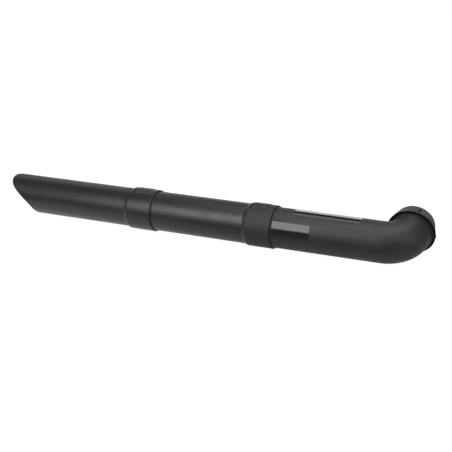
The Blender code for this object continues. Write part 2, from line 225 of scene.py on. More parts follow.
class OutletSizes(bpy.types.PropertyGroup):
    """Sizes of the outlet's bead, seal, retaining ring and locking collar."""
    bead_radius: metres("Bead radius", "Outside radius of the elbow's last bead", 0.0495)
    bead_start: metres("Bead start", "Where the bead starts along the outlet", 0.0003)
    bead_end: metres("Bead end", "Where the bead ends along the outlet", 0.0042)
    crease_width: metres("Crease width", "Width of the crease before the bead", 0.0020)
    crease_depth: metres("Crease depth", "Depth of the crease before the bead", 0.0013)
    stub_length: metres("Stub length", "Length of the stub inside the collar", 0.0230)
    bore: metres("Stub clearance", "Inside radius of the rings round the stub", 0.0478)
    seal_start: metres("Seal start", "Where the flat rubber ring starts along the outlet", 0.0055)
    recess_radius: metres("Recess radius",
                          "Inside radius of the collar's rim, where the seal lies", 0.0550)
    collar_start: metres("Collar start",
                         "Where the locking collar's rim lies along the outlet", 0.0032)
    collar_end: metres("Collar end", "Where the locking collar ends along the outlet", 0.04087)
    web_start: metres("Web start", "Where the collar's inner web starts along the outlet", 0.0073)
    rim_radius: metres("Collar rim radius", "Radius of the collar's wide end", 0.0558)
    end_radius: metres("Collar end radius", "Radius of the collar's narrow end", 0.0465)
    wall: metres("Collar wall", "Wall thickness of the collar", 0.0023)
    ring_radius: metres("Retaining ring radius",
                        "Outside radius of the split retaining ring", 0.0508)
    ring_width: metres("Retaining ring width", "Width of the split retaining ring", 0.0026)
    ring_gap: metres("Retaining ring gap", "Width of the split in the retaining ring", 0.0120)
    slot_start: metres("Slot start", "Where the locking slots start along the outlet", 0.0084)
    slot_length: metres("Slot length", "Length of a locking slot", 0.0215)
    slot_width: metres("Slot width", "Width of a locking slot", 0.0042)
    slot_depth: metres("Slot depth", "Depth of a locking slot, with the rib behind it", 0.0054)
    slot_angle: degrees("Slot angle", "Angle of the first slot from straight up", 17.6)
    tab_radius: metres("Tab radius",
                       "Outside radius of the marking tab on the collar's rim", 0.0564)
    tab_angle: degrees("Tab angle", "Angle of the marking tab from straight up", 94.2)
    tab_length: metres("Tab length", "Length of the tab along the outlet", 0.0019)
    tab_width: metres("Tab width", "Width of the tab round the rim", 0.0068)


class Finishes(bpy.types.PropertyGroup):
    """Colours and roughness of the surfaces."""
    tube_colour: tint("Tube colour", "Moulded plastic of the sections", (0.0105, 0.0108, 0.0112))
    front_roughness: factor("Front roughness", "Roughness of the front tube", 0.38)
    middle_roughness: factor("Middle roughness", "Roughness of the middle tube", 0.40)
    sleeve_roughness: factor("Sleeve roughness", "Roughness of the middle tube's sleeve", 0.60)
    rear_roughness: factor("Rear roughness", "Roughness of the rear tube", 0.53)
    collar_colour: tint("Collar colour", "Matt plastic of the collar", (0.0095, 0.0098, 0.0100))
    rubber_colour: tint("Rubber colour", "Rubber of the seals", (0.0075, 0.0075, 0.0078))
    stripe_colour: tint("Stripe colour", "Lilac-grey of the label", (0.315, 0.306, 0.368))
    band_colour: tint("Band colour", "Black of the label", (0.004, 0.004, 0.006))


class StageSettings(bpy.types.PropertyGroup):
    """The camera and the studio."""
    aim: bpy.props.FloatVectorProperty(
        name="Aim", description="The point that the camera looks at",
        default=(0.0557, -0.0288, 0.0391), size=3, unit="LENGTH")
    azimuth: degrees("Azimuth", "Camera's angle round the object, from the near side", 25.500)
    elevation: degrees("Elevation", "Camera's angle above the floor", 27.777)
    roll: degrees("Roll", "Tilt of the camera about its line of sight", -4.398)
    distance: metres("Distance", "From the camera to the point it looks at", 2.161)
    lens: bpy.props.FloatProperty(
        name="Lens", description="Focal length in millimetres", default=72.16)
    lamp_strength: bpy.props.FloatProperty(
        name="Lamp strength", description="Brightness of all softboxes", default=1.0)


# Modelling tools


def deselect():
    """Deselects every object."""
    bpy.ops.object.select_all(action="DESELECT")


def edit_all():
    """Enters edit mode with every vertex of the active object selected."""
    bpy.ops.object.mode_set(mode="EDIT")
    bpy.ops.mesh.select_mode(type="VERT")
    bpy.ops.mesh.select_all(action="SELECT")


def leave_edit():
    """Leaves edit mode."""
    bpy.ops.object.mode_set(mode="OBJECT")


def settle():
    """Applies the active object's place to its mesh."""
    bpy.ops.object.transform_apply(location=True, rotation=True, scale=True)


def activate(piece):
    """Selects one object and makes it the active one."""
    deselect()
    piece.select_set(True)
    bpy.context.view_layer.objects.active = piece


def rounded(corners):
    """Stations (place, radius) along an outline of (place, radius, rounding) corners."""
    stations = [corners[0][:2]]
    for before, corner, after in zip(corners, corners[1:], corners[2:]):
        middle = Vector(corner[:2])
        back = Vector(before[:2]) - middle
        ahead = Vector(after[:2]) - middle
        if corner[2] == 0:
            stations.append(tuple(middle))
            continue
        half = back.angle(ahead) / 2
        reach = min(corner[2] / math.tan(half), ARC_SHARE * back.length, ARC_SHARE * ahead.length)
        start = middle + back.normalized() * reach
        end = middle + ahead.normalized() * reach
        for step in range(ARC_STEPS + 1):
            share = step / ARC_STEPS
            first = start.lerp(middle, share)
            second = middle.lerp(end, share)
            stations.append(tuple(first.lerp(second, share)))
    stations.append(corners[-1][:2])
    return stations


def start_ring(name, place, radius):
    """Adds an open ring about the X axis and enters edit mode with all of it selected."""
    deselect()
    bpy.ops.mesh.primitive_circle_add(vertices=SIDES, radius=radius, location=(place, 0, 0),
                                      rotation=(0, math.pi / 2, 0))
    piece = bpy.context.object
    piece.name = name
    piece.data.name = name
    settle()
    edit_all()
    return piece


def walk(stations, way=ALONG, origin=Vector((0, 0, 0))):
    """Extrudes the selected ring from station to station along a straight way."""
    for (place, radius), (next_place, next_radius) in zip(stations, stations[1:]):
        step = way * (next_place - place)
        ratio = next_radius / radius
        bpy.ops.mesh.extrude_region_move(TRANSFORM_OT_translate={"value": step})
        bpy.ops.transform.resize(value=[1.0 if part else ratio for part in way],
                                 center_override=origin + way * next_place)


def turn_ring(angle):
    """Spins the selected ring round the bend's centre."""
    bpy.ops.mesh.spin(steps=BEND_STEPS, angle=angle, center=(0, BEND_RADIUS, 0), axis=(0, 0, -1))


def weld_and_leave():
    """Merges doubles, turns the faces outwards and leaves edit mode."""
    bpy.ops.mesh.select_all(action="SELECT")
    bpy.ops.mesh.remove_doubles(threshold=WELD)
    bpy.ops.mesh.normals_make_consistent(inside=False)
    leave_edit()


def turned(name, corners):
    """A closed ring or tube about the X axis, from the corners of its outline."""
    stations = rounded([*corners, corners[0]])
    piece = start_ring(name, *stations[0])
    walk(stations)
    weld_and_leave()
    return piece


def select_by(piece, kind, wanted):
    """In edit mode, selects just the vertices, edges or faces that the test accepts."""
    bpy.ops.mesh.select_mode(type=kind)
    bpy.ops.mesh.select_all(action="DESELECT")
    mesh = bmesh.from_edit_mesh(piece.data)
    for part in {"VERT": mesh.verts, "EDGE": mesh.edges, "FACE": mesh.faces}[kind]:
        if wanted(part):
            part.select_set(True)
    bmesh.update_edit_mesh(piece.data)


def press(piece, span, angle, width, least, edge, rise):
    """Raises or sinks a patch of a turned piece, outside of the least radius."""
    activate(piece)
    edit_all()

    def on_patch(face):
        centre = face.calc_center_median()
        round_tube = math.atan2(centre.z, centre.y)
        outside = math.hypot(centre.y, centre.z) > least
        return outside and span[0] < centre.x < span[1] and abs(round_tube - angle) < width / 2

    select_by(piece, "FACE", on_patch)
    for edge_width, share in edge:
        bpy.ops.mesh.inset(thickness=edge_width, depth=rise * share)
    leave_edit()


def cutter(name, size):
    """A block round the origin, which joins or cuts a piece."""
    deselect()
    bpy.ops.mesh.primitive_cube_add(size=1, location=(0, 0, 0))
    block = bpy.context.object
    block.name = name
    block.scale = size
    settle()
    return block


def apply_boolean(piece, tool, operation):
    """Joins or cuts a piece with a tool, which is then removed."""
    activate(piece)
    step = piece.modifiers.new(tool.name, "BOOLEAN")
    step.operation = operation
    step.solver = "EXACT"
    step.object = tool
    bpy.ops.object.modifier_apply(modifier=step.name)
    bpy.data.objects.remove(tool)


def finish(piece, axes, material, body, slot, *nodes):
    """Shades a piece, places it and ties it to the frame."""
    activate(piece)
    piece.matrix_world = axes
    settle()
    piece.data.materials.clear()
    piece.data.materials.append(material)
    bpy.ops.object.shade_smooth_by_angle(angle=SMOOTH_ANGLE)
    shading = piece.modifiers.new("shading", "WEIGHTED_NORMAL")
    shading.keep_sharp = True
    bpy.ops.object.modifier_apply(modifier=shading.name)
    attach(piece, body)
    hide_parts(*nodes)


# Materials


class Nodes:
    """A short way to write a material's nodes."""

    def __init__(self, name):
        self.material = bpy.data.materials.new(name)
        self.material.use_nodes = True
        self.tree = self.material.node_tree
        self.shader = self.tree.nodes["Principled BSDF"]

    def add(self, kind, inputs=None, **settings):
        """Adds a node; inputs are values or other nodes' outputs."""
        node = self.tree.nodes.new(kind)
        for key, value in settings.items():
            setattr(node, key, value)
        for key, value in (inputs or {}).items():
            self.set(node.inputs[key], value)
        return node

    def set(self, socket, value):
        """Sets a socket to a value or links another node's output to it."""
        if isinstance(value, bpy.types.NodeSocket):
            self.tree.links.new(value, socket)
        else:
            socket.default_value = value

    def place(self, scale=(1, 1, 1)):
        """The object's own coordinates in the tube's axes, scaled."""
        coordinates = self.add("ShaderNodeTexCoord").outputs["Object"]
        moved = self.add("ShaderNodeVectorMath", {0: coordinates, 1: BEND_START},
                         operation="SUBTRACT")
        turned_back = self.add("ShaderNodeVectorRotate", {"Vector": moved.outputs[0],
                                                          "Angle": -ROLL}, rotation_type="X_AXIS")
        return self.add("ShaderNodeVectorMath", {0: turned_back.outputs[0], 1: scale},
                        operation="MULTIPLY").outputs[0]

    def noise(self, place, scale, detail=2.0, roughness=0.5):
        """A noise texture's factor."""
        return self.add("ShaderNodeTexNoise", {"Vector": place, "Scale": scale, "Detail": detail,
                                               "Roughness": roughness}).outputs[0]

    def span(self, value, low=0.0, high=1.0, start=0.0, end=1.0):
        """Maps a factor from start..end to low..high."""
        return self.add("ShaderNodeMapRange", {"Value": value, "From Min": start, "From Max": end,
                                               "To Min": low, "To Max": high}).outputs["Result"]

    def total(self, first, second):
        """Adds two factors."""
        return self.add("ShaderNodeMath", {0: first, 1: second}, operation="ADD").outputs[0]

    def mix(self, factor, first, second):
        """Mixes two colours."""
        node = self.add("ShaderNodeMix", {0: factor, 6: first, 7: second}, data_type="RGBA")
        return node.outputs[2]

    def bump(self, height, strength, distance, normal=None):
        """Bumps the surface by a height."""
        inputs = {"Height": height, "Strength": strength, "Distance": distance}
        if normal:
            inputs["Normal"] = normal
        return self.add("ShaderNodeBump", inputs).outputs["Normal"]

    def surface(self, colour, roughness, normal):
        """Gives the shader its colour, roughness and normal."""
        inputs = self.shader.inputs
        for name, value in (("Base Color", colour), ("Roughness", roughness), ("Normal", normal)):
            self.set(inputs[name], value)

    def glow(self, strength):
        """A white light of its own."""
        return self.add("ShaderNodeEmission", {"Color": (1, 1, 1, 1), "Strength": strength})

    def output(self, shader):
        """Gives the material a shader of its own."""
        self.set(self.tree.nodes["Material Output"].inputs["Surface"], shader.outputs[0])
        return self.material


def shade(colour, factor):
    """A colour with alpha, made lighter or darker."""
    return (*[part * factor for part in colour], 1.0)


def moulded_plastic(name, colour, roughness, grain, streaks, sleeve=(1.0, 0.0)):
    """Black moulded plastic with a fine grain, faint streaks along the tube and worn edges.

    The sleeve is a place along the tube and the roughness from there on.
    """
    nodes = Nodes(name)
    plain = nodes.place()
    along = nodes.add("ShaderNodeSeparateXYZ", {0: plain}).outputs["X"]
    level = nodes.span(along, low=roughness, high=sleeve[1],
                       start=sleeve[0] - EDGE, end=sleeve[0] + EDGE)
    patches = nodes.noise(plain, scale=14.0, detail=3.0)
    grains = nodes.noise(plain, scale=1500.0, roughness=0.6)
    drawn = nodes.noise(nodes.place((3.0, 260.0, 260.0)), scale=1.0, detail=3.0, roughness=0.6)
    edge = nodes.add("ShaderNodeNewGeometry").outputs["Pointiness"]
    worn = nodes.span(edge, start=0.515, end=0.56)
    base = nodes.mix(patches, shade(colour, 0.88), shade(colour, 1.12))
    varied = nodes.span(nodes.noise(plain, scale=38.0, detail=4.0),
                        low=-0.04, high=0.04, start=0.3, end=0.7)
    streaked = nodes.total(varied, nodes.span(drawn, -streaks, streaks, start=0.3, end=0.7))
    smooth = nodes.bump(drawn, strength=0.15, distance=0.00004)
    nodes.surface(nodes.mix(worn, base, shade(colour, 1.5)),
                  nodes.total(level, streaked),
                  nodes.bump(grains, strength=grain, distance=0.00008, normal=smooth))
    return nodes.material


def dull_rubber(name, colour, sheen):
    """Dull black rubber with a faint bloom."""
    nodes = Nodes(name)
    plain = nodes.place()
    bloom = nodes.noise(plain, scale=60.0, detail=3.0)
    nodes.surface(nodes.mix(bloom, shade(colour, 0.8), shade(colour, 1.4)),
                  nodes.span(bloom, low=0.5, high=0.65),
                  nodes.bump(nodes.noise(plain, scale=900.0), strength=0.3, distance=0.00005))
    nodes.shader.inputs["Specular IOR Level"].default_value = sheen
    return nodes.material


# Pieces


def socket_outline(sizes, rim, length, radius, coupling):
    """A sleeve's outline from the tube's outside over the rim to the bore."""
    shoulder = rim - length
    stop = rim - sizes.socket_depth
    start, end = pad_span(sizes, coupling)
    groove = groove_span(sizes, coupling)
    along = (*groove, start, start + sizes.window_margin, end - sizes.window_margin, end)
    foot = shoulder - sizes.flare_length
    return [(foot, radius, FOOT_ROUNDING),
            (foot + CONE_SHARE * sizes.flare_length, sizes.sleeve_radius - EDGE, FLARE_ROUNDING),
            (shoulder + EDGE, sizes.sleeve_radius, SHOULDER_ROUNDING),
            *[(place, sizes.sleeve_radius, 0) for place in along],
            (rim, sizes.sleeve_radius, EDGE),
            (rim, sizes.socket_radius, EDGE),
            (stop, sizes.socket_radius, 0),
            (stop - 4 * EDGE, sizes.bore_radius, 0)]


def stop_bead(sizes, seal):
    """Where the stop bead behind a coupling's seal starts and ends along the tube."""
    start = along_tube(seal)[1] + EDGE / 2 - sizes.seal_tuck
    return start, start + sizes.bead_width


def spigot_outline(sizes, end, seal):
    """A spigot's outline from its inner edge over its end and the stop bead to the tube."""
    bead, tube = stop_bead(sizes, seal)
    return [(end, sizes.bore_radius, LIP_ROUNDING),
            (end, sizes.spigot_radius, EDGE),
            (bead, sizes.spigot_radius, 0),
            (bead, sizes.bead_radius, EDGE),
            (tube, sizes.bead_radius, EDGE),
            (tube, sizes.wide_radius, ROOT_ROUNDING)]


def pad_span(sizes, coupling):
    """Where a coupling's pad starts and ends along the tube."""
    return coupling - sizes.pad_back - sizes.pad_length, coupling - sizes.pad_back


def groove_span(sizes, coupling):
    """Where the groove beside a coupling's pad starts and ends along the tube."""
    end = pad_span(sizes, coupling)[0] - EDGE
    return end - sizes.groove_length, end


def dress_sleeve(piece, sizes, coupling):
    """Raises the pad over the bayonet's pocket, sinks its window and the groove beside it."""
    least = (sizes.sleeve_radius + sizes.socket_radius) / 2
    start, end = pad_span(sizes, coupling)
    window = start + sizes.window_margin, end - sizes.window_margin
    rise = sizes.pad_rise
    press(piece, (start, end), sizes.pad_angle, sizes.pad_width, least, PAD_EDGE, rise)
    press(piece, window, sizes.window_angle, sizes.window_width, least, WINDOW_EDGE, rise)
    press(piece, groove_span(sizes, coupling), sizes.groove_angle, sizes.groove_width, least,
          GROOVE_EDGE, rise)
    activate(piece)
    edit_all()
    select_by(piece, "VERT", lambda vert: start < vert.co.x < end and vert.co.z > 0
              and abs(vert.co.y) < sizes.flat_width / 2
              and math.hypot(vert.co.y, vert.co.z) > sizes.sleeve_radius + rise / 2)
    bpy.ops.transform.resize(value=(1, 1, 0), center_override=(0, 0, sizes.flat_height))
    leave_edit()


def mouth_edge(sizes, height):
    """Where the mouth's edge lies along the tube, at a height above the axis."""
    return -(sizes.mouth_reach + sizes.mouth_slope * height + sizes.mouth_curve * height ** 2
             - sizes.mouth_hook * height ** 4)


def slant_mouth(piece, sizes):
    """Draws the square front of the tube out to the curved slant and rounds its rims."""
    activate(piece)
    edit_all()
    mesh = bmesh.from_edit_mesh(piece.data)
    front = min(vert.co.x for vert in mesh.verts)
    rings = {vert.index for vert in mesh.verts if vert.co.x < front + WELD}
    heights = {round(vert.co.z, 6) for vert in mesh.verts if vert.index in rings}
    # What has been moved is kept well aside, so that it isn't picked a second time
    aside = 1.0
    for height in sorted(heights):
        select_by(piece, "VERT", lambda vert: abs(vert.co.x - front) < WELD
                  and abs(vert.co.z - height) < WELD)
        bpy.ops.transform.translate(value=(mouth_edge(sizes, height) - front - aside, 0, 0))
    select_by(piece, "VERT", lambda vert: vert.index in rings)
    bpy.ops.transform.translate(value=(aside, 0, 0))

    def on_rim(edge):
        radii = [math.hypot(vert.co.y, vert.co.z) for vert in edge.verts]
        at_mouth = all(vert.index in rings for vert in edge.verts)
        return at_mouth and abs(radii[0] - radii[1]) < WELD

    select_by(piece, "EDGE", on_rim)
    bpy.ops.mesh.bevel(offset=sizes.mouth_rounding, segments=3, affect="EDGES")
    leave_edit()


def build_front_tube(sizes, material):
    """The mouth section."""
    rim = along_tube("front_tube")[1]
    coupling = sum(along_tube("front_coupling_seal")) / 2
    front = -sizes.mouth_reach
    outline = [(front, sizes.bore_radius, 0), (front, sizes.tube_radius, 0)]
    outline += socket_outline(sizes, rim, sizes.front_sleeve, sizes.tube_radius, coupling)
    piece = turned("front_tube_moulding", outline)
    dress_sleeve(piece, sizes, coupling)
    slant_mouth(piece, sizes)
    finish(piece, TUBE_AXES, material, "front", "tube_plastic", "front_tube")


def build_middle_tube(sizes, material):
    """The section between the two couplings."""
    end, rim = along_tube("middle_tube")
    coupling = sum(along_tube("rear_coupling_seal")) / 2
    outline = spigot_outline(sizes, end, "front_coupling_seal")
    outline += socket_outline(sizes, rim, sizes.middle_sleeve, sizes.wide_radius, coupling)
    piece = turned("middle_tube_moulding", outline)
    dress_sleeve(piece, sizes, coupling)
    finish(piece, TUBE_AXES, material, "middle", "tube_plastic", "middle_tube")


def build_elbow_tube(sizes, outlet, material):
    """The rear section with its elbow and the stub for the collar."""
    end = along_tube("elbow_tube")[0]
    spigot = spigot_outline(sizes, end, "rear_coupling_seal")
    stations = rounded(spigot + [(0.0, sizes.tube_radius, 0)])
    stub = rounded([(0.0, sizes.tube_radius, 0), (outlet.stub_length, sizes.tube_radius, EDGE),
                    (outlet.stub_length, sizes.bore_radius, EDGE), (0.0, sizes.bore_radius, 0)])
    piece = start_ring("elbow_tube_moulding", *stations[0])
    walk(stations)
    turn_ring(math.pi / 2)
    walk(stub, OUTWARD, BEND_END)
    turn_ring(-math.pi / 2)
    walk([(0.0, sizes.bore_radius), (end, sizes.bore_radius)])
    weld_and_leave()
    foot = outlet.bead_start
    start = foot - outlet.crease_width
    floor = sizes.tube_radius - outlet.crease_depth
    crease = turned("outlet_crease", [(start, sizes.tube_radius, 0),
                                      (start, outlet.bead_radius, 0),
                                      (foot + EDGE, outlet.bead_radius, 0),
                                      (foot + EDGE, floor, 0), (foot - EDGE / 2, floor, 0)])
    half_round = (outlet.bead_end - foot) / 2 - WELD
    root = sizes.bore_radius + EDGE
    bead = turned("outlet_bead", [(outlet.bead_end, root, 0),
                                  (outlet.bead_end, outlet.bead_radius, half_round),
                                  (foot, outlet.bead_radius, half_round), (foot, root, 0)])
    for tool, operation in ((crease, "DIFFERENCE"), (bead, "UNION")):
        activate(tool)
        tool.matrix_world = OUTLET_TURN
        settle()
        apply_boolean(piece, tool, operation)
    finish(piece, TUBE_AXES, material, "rear", "tube_plastic", "elbow_tube")


def build_coupling_seal(sizes, node, body, material):
    """The rubber ring between a sleeve's rim and the stop bead."""
    start, end = along_tube(node)
    end -= sizes.seal_tuck
    middle = (start + end) / 2
    top = sizes.seal_radius
    inside = sizes.spigot_radius + EDGE / 2
    piece = turned(node + "_ring", [(start, inside, 0), (start, top - EDGE, LIP_ROUNDING),
                                    (middle, top, CROWN_ROUNDING),
                                    (end, top - EDGE, LIP_ROUNDING), (end, inside, 0)])
    finish(piece, TUBE_AXES, material, body, "seal_rubber", node)


def build_outlet_seal(outlet, material):
    """The flat rubber ring that lies in the collar's rim, behind the elbow's bead."""
    start = outlet.seal_start
    end = outlet.web_start - EDGE / 4
    top = outlet.recess_radius - EDGE / 2
    piece = turned("outlet_seal_ring", [(start, outlet.bore, 0), (start, top, EDGE),
                                        (end, top, EDGE / 4), (end, outlet.bore, 0)])
    finish(piece, OUTLET_AXES, material, "rear", "seal_rubber", "outlet_seal")


def build_retaining_ring(outlet, material):
    """The split ring on the stub, behind the collar's web."""
    start = outlet.web_start + outlet.wall + EDGE / 2
    end = start + outlet.ring_width
    top = outlet.ring_radius
    piece = turned("retaining_ring_clip", [(start, outlet.bore, 0), (start, top, EDGE),
                                           (end, top, EDGE), (end, outlet.bore, 0)])
    split = cutter("ring_split", (4 * outlet.ring_width, outlet.ring_gap, outlet.ring_gap))
    split.matrix_world = Matrix.Rotation(math.pi, 4, "X") @ Matrix.Translation((start, 0, top))
    apply_boolean(piece, split, "DIFFERENCE")
    finish(piece, OUTLET_AXES, material, "rear", "collar_plastic", "retaining_ring")


def build_collar(outlet, material):
    """The tapered locking collar with its recessed rim, its slots and its tab."""
    start, end = outlet.collar_start, outlet.collar_end
    web = outlet.web_start
    behind = web + outlet.wall
    taper = (outlet.rim_radius - outlet.end_radius) / (end - start)
    cavity = outlet.rim_radius - taper * (behind - start) - outlet.wall
    piece = turned("locking_collar_moulding",
                   [(web, outlet.bore, 0), (web, outlet.recess_radius, 0),
                    (start, outlet.recess_radius, 0), (start, outlet.rim_radius, EDGE / 2),
                    (end, outlet.end_radius, EDGE), (end, outlet.end_radius - outlet.wall, EDGE),
                    (behind, cavity, CAVITY_ROUNDING), (behind, outlet.bore, 0)])
    middle = outlet.slot_start + outlet.slot_length / 2
    over = outlet.rim_radius - taper * (middle - start)
    # The stub closes the slots from inside, and beyond its end a rib does
    ribbed = (outlet.stub_length + outlet.wall,
              outlet.slot_start + outlet.slot_length + 2 * outlet.wall)
    for side in range(2):
        place = (Matrix.Rotation(outlet.slot_angle + side * math.pi, 4, "X")
                 @ Matrix.Translation((middle, 0, over))
                 @ Matrix.Rotation(math.atan(taper), 4, "Y"))
        rib = cutter("slot_rib", (ribbed[1] - ribbed[0], outlet.slot_width + 2 * outlet.wall,
                                  outlet.slot_depth - outlet.wall / 2))
        rib.matrix_world = place @ Matrix.Translation((sum(ribbed) / 2 - middle, 0,
                                                       -(outlet.slot_depth + outlet.wall) / 2))
        apply_boolean(piece, rib, "UNION")
        slot = cutter("slot_cutter", (outlet.slot_length, outlet.slot_width,
                                      2 * outlet.slot_depth))
        slot.matrix_world = place
        apply_boolean(piece, slot, "DIFFERENCE")
    foot = outlet.recess_radius + EDGE / 2
    tab = cutter("tab_block", (outlet.tab_length, outlet.tab_width, outlet.tab_radius - foot))
    edit_all()
    bpy.ops.mesh.bevel(offset=EDGE / 3, segments=2, affect="EDGES")
    leave_edit()
    tab.matrix_world = (Matrix.Rotation(outlet.tab_angle, 4, "X")
                        @ Matrix.Translation((start + (EDGE + outlet.tab_length) / 2, 0,
                                              (outlet.tab_radius + foot) / 2)))
    apply_boolean(piece, tab, "UNION")
    finish(piece, OUTLET_AXES, material, "collar", "collar_plastic", "locking_collar")


def build_film(node, sizes, span, slant, material, slot):
    """A thin film on the rear tube, which narrows from the stop bead to the bend."""
    start, end = along_tube(node)
    angles = [math.radians(angle) for angle in span]
    narrowing = (sizes.wide_radius - sizes.tube_radius) / stop_bead(sizes, "rear_coupling_seal")[1]
    stations = [(place, sizes.tube_radius + narrowing * place + sizes.film_lift)
                for place in (start, end)]
    piece = start_ring(node + "_film", *stations[0])

    def off_film(vert):
        angle = math.atan2(vert.co.z, vert.co.y) % (2 * math.pi)
        return not angles[0] < angle < angles[1]

    select_by(piece, "VERT", off_film)
    bpy.ops.mesh.delete(type="VERT")
    bpy.ops.mesh.select_all(action="SELECT")
    walk(stations)
    if slant:
        slant_end(piece, start, angles, slant)
    bpy.ops.mesh.select_all(action="SELECT")
    bpy.ops.mesh.normals_make_consistent(inside=False)
    leave_edit()
    thickness = piece.modifiers.new("film", "SOLIDIFY")
    thickness.thickness = sizes.film_thickness
    thickness.offset = 0.0
    bpy.ops.object.modifier_apply(modifier=thickness.name)
    finish(piece, TUBE_AXES, material, "rear", slot, node)


def slant_end(piece, start, angles, slant):
    """Slants a film's first end by moving its far side along the tube, step by step."""
    for step in range(SLANT_STEPS):
        low = angles[0] + (angles[1] - angles[0]) * step / SLANT_STEPS

        def at_end(vert):
            return vert.co.x < start + slant + WELD and math.atan2(vert.co.z, vert.co.y) > low

        select_by(piece, "VERT", at_end)
        bpy.ops.transform.translate(value=(slant / SLANT_STEPS, 0, 0))


def label_film(finishes):
    """Printed film with lilac-grey and black stripes along the tube."""
    nodes = Nodes("label_print")
    parts = nodes.add("ShaderNodeSeparateXYZ", {0: nodes.place()})
    angle = nodes.add("ShaderNodeMath", {0: parts.outputs["Z"], 1: parts.outputs["Y"]},
                      operation="ARCTAN2").outputs[0]
    away = nodes.add("ShaderNodeMath", {0: angle, 1: math.radians(LABEL_MIDDLE)},
                     operation="SUBTRACT").outputs[0]
    apart = nodes.add("ShaderNodeMath", {0: away}, operation="ABSOLUTE").outputs[0]
    ramp = nodes.add("ShaderNodeValToRGB",
                     {0: nodes.span(apart, end=math.radians(STRIPES_REACH))})
    ramp.color_ramp.interpolation = "CONSTANT"
    stripe, band = shade(finishes.stripe_colour, 1.0), shade(finishes.band_colour, 1.0)
    grey = shade(finishes.stripe_colour, 0.2)
    first, second = ramp.color_ramp.elements
    first.color = stripe
    second.position, second.color = BAND_START / STRIPES_REACH, band
    for start, colour in ((GREY_START, grey), (GREY_END, band)):
        ramp.color_ramp.elements.new(start / STRIPES_REACH).color = colour
    plain = nodes.place()
    nodes.surface(ramp.outputs["Color"],
                  nodes.span(nodes.noise(plain, scale=45.0, detail=3.0), low=0.12, high=0.20),
                  nodes.bump(nodes.noise(plain, scale=300.0), strength=0.08, distance=0.00005))
    nodes.shader.inputs["Specular IOR Level"].default_value = 0.2
    return nodes.material


def gloss_film():
    """Smooth glossy black film with faint hairline marks."""
    nodes = Nodes("gloss_black_film")
    plain = nodes.place()
    hairs = nodes.noise(nodes.place((90.0, 1400.0, 1400.0)), scale=1.0)
    dark, light = (0.009, 0.009, 0.010, 1), (0.013, 0.013, 0.014, 1)
    nodes.surface(nodes.mix(nodes.noise(plain, scale=30.0), dark, light),
                  nodes.span(hairs, low=0.10, high=0.16, start=0.3, end=0.7),
                  nodes.bump(nodes.noise(plain, scale=140.0, detail=3.0),
                             strength=0.05, distance=0.0001))
    nodes.shader.inputs["Specular IOR Level"].default_value = 0.43
    return nodes.material


# Stage


def point_at(thing, target, roll=0.0):
    """Turns a lamp or camera towards a point."""
    away = Vector(target) - thing.location
    turn = away.to_track_quat("-Z", "Y").to_matrix() @ Matrix.Rotation(roll, 3, "Z")
    thing.rotation_euler = turn.to_euler()


def add_camera(settings):
    """The camera at its angle to the object."""
    camera = bpy.data.objects.new("camera", bpy.data.cameras.new("camera"))
    bpy.context.scene.collection.objects.link(camera)
    flat = math.cos(settings.elevation) * settings.distance
    rise = math.sin(settings.elevation) * settings.distance
    camera.location = Vector(settings.aim) + Vector((math.sin(settings.azimuth) * flat,
                                                     -math.cos(settings.azimuth) * flat, rise))
    point_at(camera, settings.aim, settings.roll)
    camera.data.lens = settings.lens
    bpy.context.scene.camera = camera


def add_softbox(name, place, size, strength):
    """A rectangular area lamp that faces the object; strength is its radiance."""
    data = bpy.data.lights.new(name, "AREA")
    data.shape = "RECTANGLE"
    data.size, data.size_y = size
    data.energy = strength * math.pi * size[0] * size[1]
    lamp = bpy.data.objects.new(name, data)
    bpy.context.scene.collection.objects.link(lamp)
    lamp.location = place
    lamp.visible_camera = False
    point_at(lamp, (max(-LAMP_REACH, min(LAMP_REACH, place[0])), 0.0, LAMP_HEIGHT))


def add_card(name, place, size, tilt, surface):
    """A studio card, seen only in reflections."""
    deselect()
    bpy.ops.mesh.primitive_plane_add(size=1, location=place, rotation=(tilt, 0, 0))
    card = bpy.context.object
    card.name = name
    card.scale = (*size, 1)
    card.data.materials.append(surface)
    card.visible_camera = False
    card.visible_diffuse = False
    card.visible_transmission = False
    card.visible_shadow = False


def plain_board(name, strength):
    """A board that shines evenly."""
    nodes = Nodes(name)
    return nodes.output(nodes.glow(strength))


def graded_board(name):
    """A board for the floor, light near the object and at its mouth section, dark away from it."""
    nodes = Nodes(name)
    place = nodes.add("ShaderNodeNewGeometry").outputs["Position"]
    parts = nodes.add("ShaderNodeSeparateXYZ", {0: place}).outputs
    near = nodes.span(parts["X"], low=1.00, high=0.62, start=-0.30, end=0.18)
    left = nodes.span(parts["X"], start=-1.05, end=-0.80)
    right = nodes.span(parts["X"], low=1.0, high=0.0, start=-0.40, end=-0.15)
    pale = nodes.add("ShaderNodeMath", {0: left, 1: right}, operation="MULTIPLY").outputs[0]
    away = nodes.span(parts["Y"], low=1.0, high=0.0, start=-0.36, end=-0.10)
    far = nodes.span(pale, low=0.14, high=0.50)
    strength = nodes.add("ShaderNodeMix", {0: away, 2: near, 3: far}).outputs[0]
    return nodes.output(nodes.glow(strength))


def studio_paper():
    """Pale paper, which the camera sees as white apart from the object's shadow."""
    nodes = Nodes("studio_paper")
    inputs = nodes.shader.inputs
    inputs["Base Color"].default_value = shade(PAPER, 1.0)
    inputs["Roughness"].default_value = 0.9
    inputs["Specular IOR Level"].default_value = 0.0
    camera_ray = nodes.add("ShaderNodeLightPath").outputs["Is Camera Ray"]
    share = nodes.add("ShaderNodeMath", {0: camera_ray, 1: WHITE_SHARE}, operation="MULTIPLY")
    white = nodes.glow(WHITE_LEVEL)
    return nodes.output(nodes.add("ShaderNodeMixShader", {
        0: share.outputs[0], 1: nodes.shader.outputs[0], 2: white.outputs[0]}))


